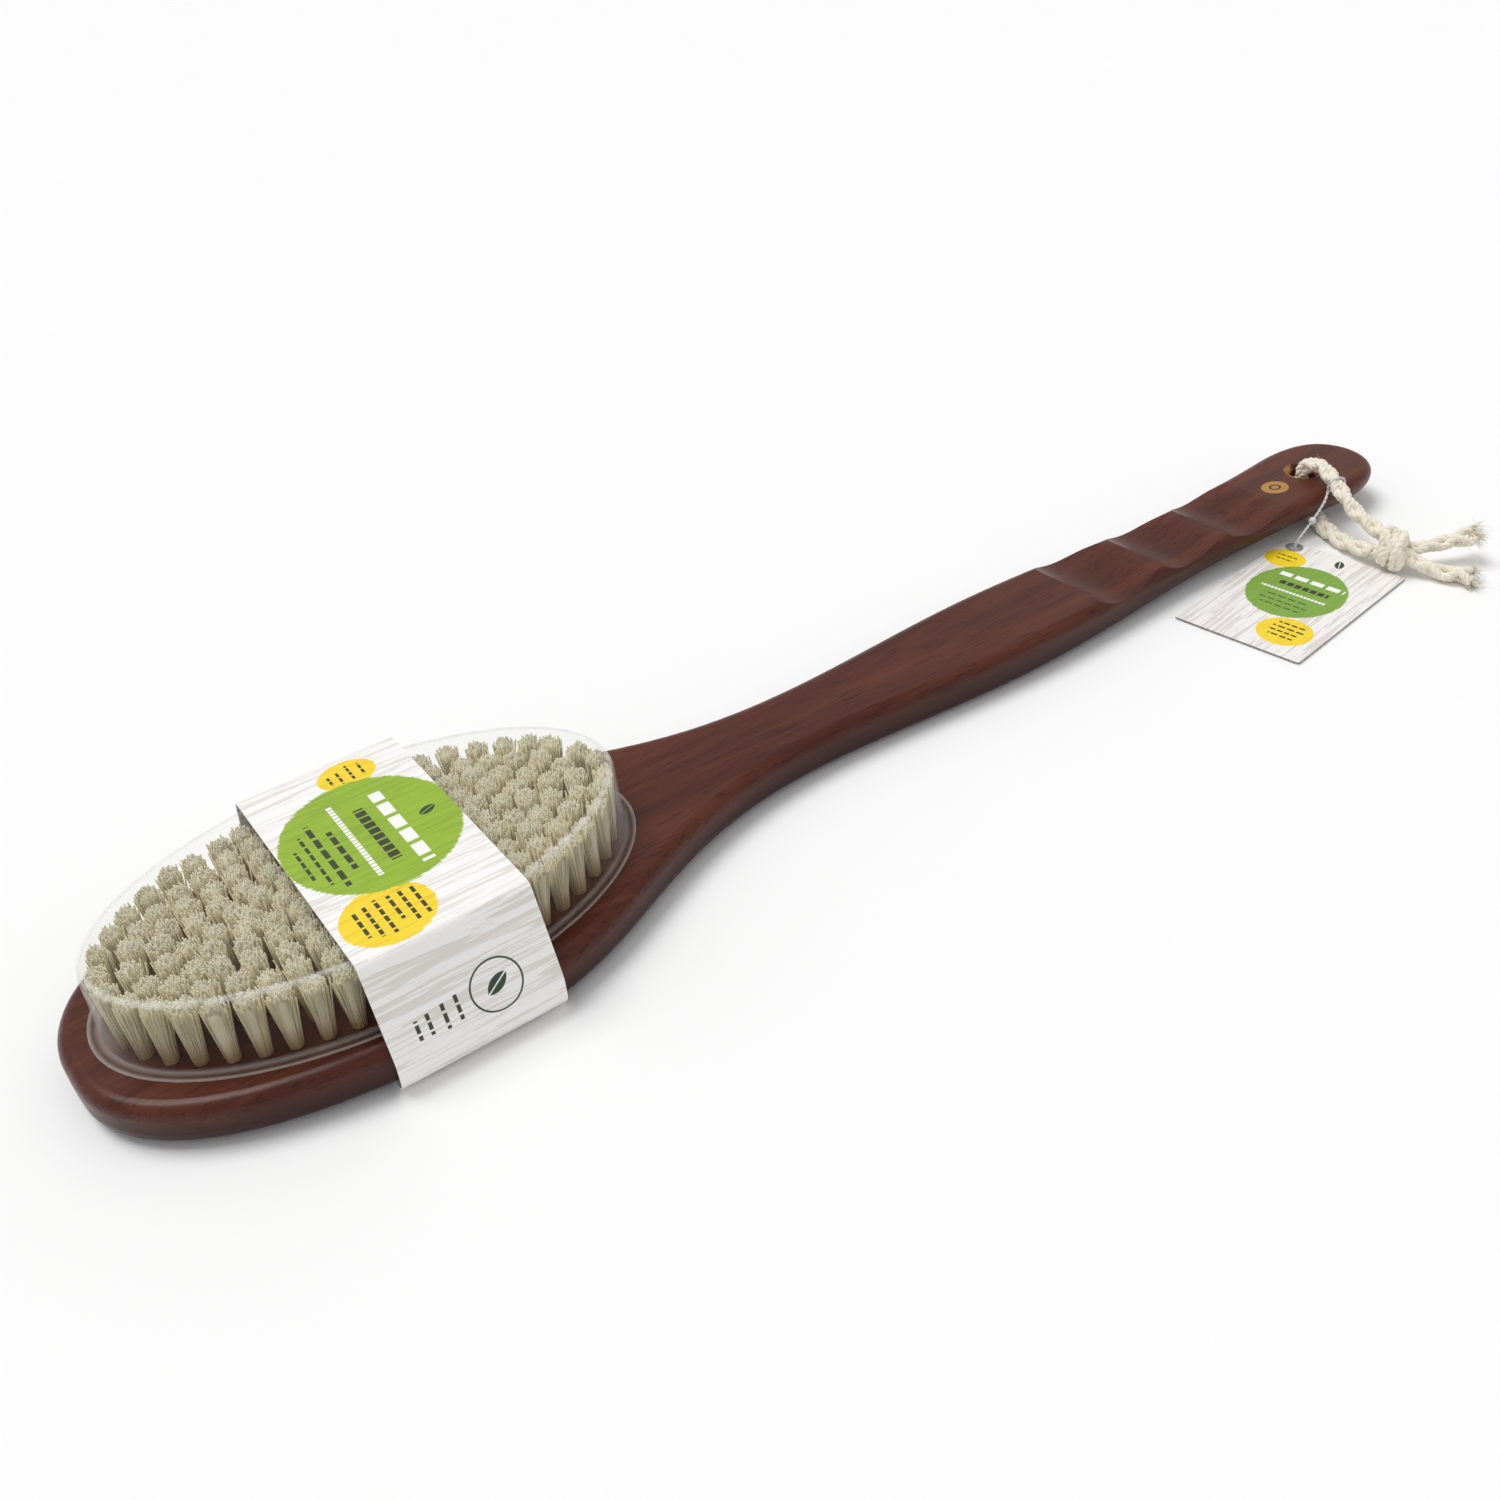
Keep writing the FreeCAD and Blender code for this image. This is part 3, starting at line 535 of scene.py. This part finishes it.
def make_tufts(node, count, seed, material):
    """Every tuft as a bundle of spreading bristles round a solid core."""
    chance = np.random.default_rng(seed)
    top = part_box(node)[1].z
    points, faces, tones = [], [], []
    total = 0
    ring_of_three = np.column_stack([circle(BRISTLE_SIDES), np.zeros(BRISTLE_SIDES)])
    order = np.arange(count) + 0.5
    reach = np.sqrt(order / count)
    for centre in tuft_places(node):
        turn = order * GOLDEN_ANGLE + chance.uniform(0, 6.28)
        unit = np.stack([np.cos(turn), np.sin(turn)], axis=1) * reach[:, None]
        root = centre + unit * ROOT_RADIUS
        lean = chance.normal(0, 0.42, 2) * MM
        tip = centre + unit * TIP_RADIUS + lean + chance.normal(0, 0.34, (count, 2)) * MM
        tip_z = top - chance.uniform(0, 1.5, count) * MM - TOP_DOME * reach ** 2
        tip_z += chance.normal(0, 0.25) * MM - 0.2 * MM
        tip = inside_cover(tip)
        tone = chance.uniform(0, 1, count)
        for level, thick in zip(BRISTLE_LEVELS, BRISTLE_THICK):
            across = root + (tip - root) * level ** 1.1
            height = BRISTLE_BASE + (tip_z - BRISTLE_BASE) * level
            middle = np.column_stack([across, height])
            points.append((middle[:, None] + ring_of_three * thick * MM).reshape(-1, 3))
            tones.append(np.repeat(tone, BRISTLE_SIDES))
        step = BRISTLE_SIDES * count
        for first in range(total, total + step, BRISTLE_SIDES):
            for _ in BRISTLE_LEVELS[1:]:
                walls(faces, first, first + step, BRISTLE_SIDES)
                first += step
            faces.append(tuple(range(first, first + BRISTLE_SIDES)))
        total += len(BRISTLE_LEVELS) * step
        core_lean = tip.mean(axis=0) - centre
        for share, radius, height in CORE_RINGS:
            wheel = centre + core_lean * share + circle(CORE_SIDES) * radius * MM
            points.append(np.column_stack([wheel, np.full(CORE_SIDES, height * MM)]))
            tones.append(np.full(CORE_SIDES, 0.5))
        for _ in CORE_RINGS[1:]:
            walls(faces, total, total + CORE_SIDES, CORE_SIDES)
            total += CORE_SIDES
        faces.append(tuple(range(total, total + CORE_SIDES)))
        total += CORE_SIDES
    piece = add_piece(node.replace("bristle_tufts", "bristles"), np.concatenate(points), faces,
                      material, "brush", [node])
    attribute = piece.data.attributes.new("tone", "FLOAT", "POINT")
    attribute.data.foreach_set("value", np.concatenate(tones).astype(np.float32))


# ---------------------------------------------------------------- rope and string
HEAD_TIP = 215
BRAID_PITCH = 16.8 * MM
YARN_PITCH = 5.2 * MM


def route_line(name, route):
    """Points along a route's smooth curve. A route is in millimetres, with x from the head's tip."""
    curve = bpy.data.curves.new(name, "CURVE")
    curve.dimensions = "3D"
    curve.resolution_u = 20
    spline = curve.splines.new("NURBS")
    spline.points.add(len(route) - 1)
    for place, (x, y, z) in zip(spline.points, route):
        place.co = ((x - HEAD_TIP) * MM, y * MM, z * MM, 1)
    spline.order_u = 3
    spline.use_endpoint_u = True
    holder = bpy.data.objects.new(name, curve)
    bpy.context.scene.collection.objects.link(holder)
    bpy.context.view_layer.update()
    mesh = bpy.data.meshes.new_from_object(holder)
    line = np.array([vertex.co for vertex in mesh.vertices])
    bpy.data.objects.remove(holder)
    return line


def gone_along(line):
    """The distance along a line to each of its points."""
    return np.concatenate([[0], np.cumsum(np.linalg.norm(np.diff(line, axis=0), axis=1))])


def evenly(line, step):
    """The same line with points about step apart."""
    lengths = gone_along(line)
    places = np.linspace(0, lengths[-1], max(4, int(lengths[-1] / step)))
    return np.stack([np.interp(places, lengths, line[:, axis]) for axis in range(3)], axis=1)


def frames(line):
    """Two unit directions across the line at each point, with no sudden turns."""
    along = np.gradient(line, axis=0)
    along /= np.linalg.norm(along, axis=1)[:, None]
    start = np.cross(along[0], [0.3, 0.2, 1.0])
    firsts = [start / np.linalg.norm(start)]
    for direction in along[1:]:
        moved = firsts[-1] - direction * (firsts[-1] @ direction)
        firsts.append(moved / np.linalg.norm(moved))
    firsts = np.array(firsts)
    return firsts, np.cross(along, firsts)


def wound(line, radius, pitch, phase):
    """A line that winds round another. radius may change along it; pitch is one full turn."""
    first, second = frames(line)
    angle = (phase + 2 * math.pi * gone_along(line) / pitch)[:, None]
    return line + np.reshape(radius, (-1, 1)) * (np.cos(angle) * first + np.sin(angle) * second)


def tube(line, radius, sides, points, faces):
    """Add a round tube along a line to a list of points and faces. radius may change along it."""
    around = circle(sides) @ np.stack(frames(line), axis=1)
    start = len(points)
    wide = np.reshape(radius, (-1, 1, 1))
    points.extend((line[:, None] + wide * around).reshape(-1, 3).tolist())
    for level in range(len(line) - 1):
        here = start + level * sides
        walls(faces, here, here + sides, sides)
    faces.append(tuple(range(start, start + sides))[::-1])
    end = start + (len(line) - 1) * sides
    faces.append(tuple(range(end, end + sides)))


def braid(line, points, faces, size=1.0, splay=0.0):
    """Four strands plaited round a line, each of three twisted yarns.

    splay opens the strands towards the end. Returns each yarn's end and its direction there.
    """
    line = evenly(line, 0.45 * MM)
    gone = np.linspace(0, 1, len(line))
    wave = 4 * math.pi * gone * gone_along(line)[-1] / BRAID_PITCH
    opening = 1 + splay * np.clip(gone * 1.6 - 0.6, 0, 1) ** 1.3
    ends = []
    for number in range(4):
        hand = 1 if number % 2 == 0 else -1
        phase = number * math.pi / 2
        radius = (1.25 + 0.22 * hand * np.cos(wave)) * opening * size * MM
        strand = wound(line, radius, hand * BRAID_PITCH, phase)
        strand[:, 2] = np.maximum(strand[:, 2], 1.42 * size * MM)
        for yarn in range(3):
            path = wound(strand, 0.62 * size * MM, YARN_PITCH, yarn * 2 * math.pi / 3 + number)
            tube(path, 0.78 * size * MM, 7, points, faces)
            ends.append((path[-1], path[-1] - path[-4]))
    return ends


def fibres(starts, length, thick, seed, points, faces, spread=0.6):
    """Loose fibres that leave from points in a direction, with a little droop and curl."""
    chance = np.random.default_rng(seed)
    for place, direction in starts:
        direction = np.asarray(direction) / np.linalg.norm(direction)
        way = direction + chance.normal(0, spread, 3)
        way /= np.linalg.norm(way)
        curl = chance.normal(0, 0.35, 3) + np.array([0, 0, -0.15])
        reach = length * chance.uniform(0.45, 1.0)
        share = np.linspace(0, 1, 5)[:, None]
        path = np.asarray(place) + reach * (share * way + share ** 2 * curl)
        path[:, 2] = np.maximum(path[:, 2], thick * 1.2)
        tube(path, thick * np.array([1, 0.95, 0.85, 0.7, 0.3]), 3, points, faces)


ROPE_ROUTE = [(392.2, -41.4, 7.8), (393.6, -34.0, 9.4), (393.8, -27.0, 12.0), (395.8, -20.8, 15.2),
              (399.0, -13.8, 17.4), (403.4, -6.8, 17.8), (404.3, 0.2, 15.0), (404.0, 0.3, 4.4),
              (402.0, -6.5, 2.45), (395.0, -15.5, 2.4), (390.5, -25.5, 2.4), (388.5, -33.5, 3.3),
              (387.8, -40.5, 4.8)]
UPPER_TAIL_ROUTE = [(393.5, -48.0, 6.4), (399.5, -50.5, 6.2), (406.0, -54.0, 7.0),
                    (411.4, -58.0, 8.8)]
LOWER_TAIL_ROUTE = [(390.8, -50.5, 5.4), (392.6, -56.0, 3.3), (395.2, -61.5, 2.5),
                    (398.3, -66.4, 2.4)]
STRING_ROUTE = [(378.9, -18.3, 0.4), (379.3, -18.3, 2.6), (382.4, -18.6, 5.4), (388.0, -18.4, 9.4),
                (392.6, -17.6, 12.4), (395.7, -15.9, 14.3), (397.7, -16.6, 13.5),
                (399.5, -17.6, 14.3), (400.1, -18.5, 16.3), (399.1, -18.7, 18.3),
                (397.1, -18.0, 19.1), (395.3, -17.0, 18.3), (394.7, -16.1, 16.3),
                (395.7, -15.9, 14.3), (394.4, -16.6, 13.4)]
KNOT_CORES = [[(392.2, -41.4, 7.8), (391.0, -44.5, 8.2), (390.2, -47.5, 7.0), (390.8, -50.8, 5.3)],
              [(387.8, -40.3, 4.8), (388.6, -43.5, 5.4), (391.0, -46.0, 6.2), (393.8, -48.1, 6.4)]]
KNOT_MIDDLE = Vector((389.9, -45.6, 6.9))
KNOT_AXIS = Vector((0.3, -0.94, -0.16)).normalized()
KNOT_SIZE = 0.92


def knot_wrap():
    """The band of the knot: nearly two turns round its legs, leaning with the twist."""
    side = KNOT_AXIS.cross(Vector((0, 0, 1))).normalized()
    above = side.cross(KNOT_AXIS)
    route = []
    for share in np.linspace(0, 1, 18):
        turn = math.radians(-60 + 650 * share)
        out = 4.7 - 0.8 * abs(share - 0.5)
        lean = 2.0 * math.cos(turn + 0.9)
        around = (side * math.cos(turn) + above * math.sin(turn)) * out
        route.append(tuple(KNOT_MIDDLE + KNOT_AXIS * (-3.2 + 6.4 * share + lean) + around))
    return route


def lint_starts(line):
    """Places on the rope's surface where a loose fibre leaves it, and the way it goes."""
    chance = np.random.default_rng(5)
    spread = evenly(line, 0.4 * MM)
    first, second = frames(spread)
    starts = []
    for index in chance.integers(4, len(spread) - 4, 260):
        angle = chance.uniform(0, 6.28)
        out = math.cos(angle) * first[index] + math.sin(angle) * second[index]
        onward = (spread[index + 1] - spread[index]) * 1500
        starts.append((spread[index] + out * 2.0 * MM, out + onward))
    return starts


def make_rope(material):
    """The loop, its knot and its two frayed tails."""
    line = route_line("rope_line", ROPE_ROUTE)
    points, faces = [], []
    braid(line, points, faces)
    fibres(lint_starts(line), 1.5 * MM, 0.035 * MM, 6, points, faces, 0.9)
    rope = add_piece("rope_loop", points, faces, material, "rope", ["hanging_rope"])

    points, faces = [], []
    for route in KNOT_CORES:
        braid(route_line("core_line", route), points, faces, KNOT_SIZE)
    braid(route_line("wrap_line", knot_wrap()), points, faces, KNOT_SIZE)
    knot = add_piece("rope_knot_turns", points, faces, material, "rope",
                     ["rope_knot"])

    for name, node, route, seed in (("rope_tail_upper", "rope_upper_tail", UPPER_TAIL_ROUTE, 11),
                                    ("rope_tail_lower", "rope_lower_tail", LOWER_TAIL_ROUTE, 12)):
        points, faces = [], []
        ends = braid(route_line(name, route), points, faces, KNOT_SIZE, 1.1)
        starts = [end for end in ends for _ in range(16)]
        fibres(starts, 4.0 * MM, 0.08 * MM, seed, points, faces, 0.35)
        add_piece(name, points, faces, material, "rope", [node])


def make_string(material):
    """The tag's string, from the eyelet to its loop round the rope, as a cord of two plies."""
    line = route_line("string_line", STRING_ROUTE)
    points, faces = [], []
    even = evenly(line, 0.18 * MM)
    for ply in range(2):
        path = wound(even, 0.2 * MM, 3.4 * MM, ply * math.pi)
        tube(path, 0.24 * MM, 8, points, faces)
    thread = add_piece("tag_thread", points, faces, material, "string",
                       ["tag_string", "tag_string_loop"])


# ---------------------------------------------------------------- camera, floor and light
CAMERA_PLACE = (-0.2055, -0.2609, 0.2310)
CAMERA_TURN, CAMERA_DOWN, CAMERA_ROLL = math.radians(32.78), math.radians(35.76), math.radians(-5.02)
CAMERA_LENS = 34.67
FLOOR_HALF = 4
FLOOR_GAP = 0.00005


def make_camera():
    """A hand-held view from the near left, turned a little about its own line of sight."""
    level = Vector((math.sin(CAMERA_TURN), math.cos(CAMERA_TURN), 0)) * math.cos(CAMERA_DOWN)
    ahead = level - Vector((0, 0, math.sin(CAMERA_DOWN)))
    right = ahead.cross(Vector((0, 0, 1))).normalized()
    above = right.cross(ahead)
    tilted_right = right * math.cos(CAMERA_ROLL) + above * math.sin(CAMERA_ROLL)
    tilted_above = above * math.cos(CAMERA_ROLL) - right * math.sin(CAMERA_ROLL)
    data = bpy.data.cameras.new("camera")
    data.sensor_width = 36
    data.lens = CAMERA_LENS
    data.clip_start = 0.01
    camera = bpy.data.objects.new("camera", data)
    turned = Matrix((tilted_right, tilted_above, -ahead)).transposed().to_4x4()
    camera.matrix_world = Matrix.Translation(CAMERA_PLACE) @ turned
    bpy.context.scene.collection.objects.link(camera)
    bpy.context.scene.camera = camera


def make_stage():
    """A wide pale floor just below the brush."""
    mesh = bpy.data.meshes.new("floor")
    corners = [(-1, -1), (1, -1), (1, 1), (-1, 1)]
    mesh.from_pydata([(x * FLOOR_HALF, y * FLOOR_HALF, 0) for x, y in corners], [], [(0, 1, 2, 3)])
    mesh.materials.append(floor_material())
    floor = bpy.data.objects.new("floor", mesh)
    floor.location.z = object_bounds()[0].z - FLOOR_GAP
    bpy.context.scene.collection.objects.link(floor)


def make_light():
    """An even bright room and one wide soft light from the upper far left."""
    world = bpy.data.worlds.new("soft_room")
    world.use_nodes = True
    background = world.node_tree.nodes["Background"]
    background.inputs["Color"].default_value = (1, 1, 1, 1)
    background.inputs["Strength"].default_value = 0.56
    bpy.context.scene.world = world
    data = bpy.data.lights.new("window", "SUN")
    data.energy = 1.6
    data.angle = math.radians(32)
    light = bpy.data.objects.new("window", data)
    light.rotation_euler = Vector((0.25, -0.35, -1.0)).to_track_quat("-Z", "Y").to_euler()
    bpy.context.scene.collection.objects.link(light)
    bpy.context.scene.view_settings.view_transform = "Standard"


BRISTLES_PER_TUFT = 104

make_camera()
make_rope(cotton_material())
make_string(string_material())
paint_node("brush_body", wood_material())
paint_node("card_sleeve", sleeve_material())
paint_node("hang_tag", tag_material())
paint_node("bristle_cover", cover_material())
paint_node("tag_eyelet",
           metal_material("pressed grey metal", srgb(196, 196, 200), srgb(158, 158, 162)))
paint_node("tag_string_bead", bead_material())
staple = metal_material("staple wire", srgb(190, 190, 194), srgb(150, 150, 154))
bristle = bristle_material()
for row in range(1, 7):
    paint_node(f"tuft_staples_row_{row}", staple)
    make_tufts(f"bristle_tufts_row_{row}", BRISTLES_PER_TUFT, 20 + row, bristle)
make_stage()
make_light()
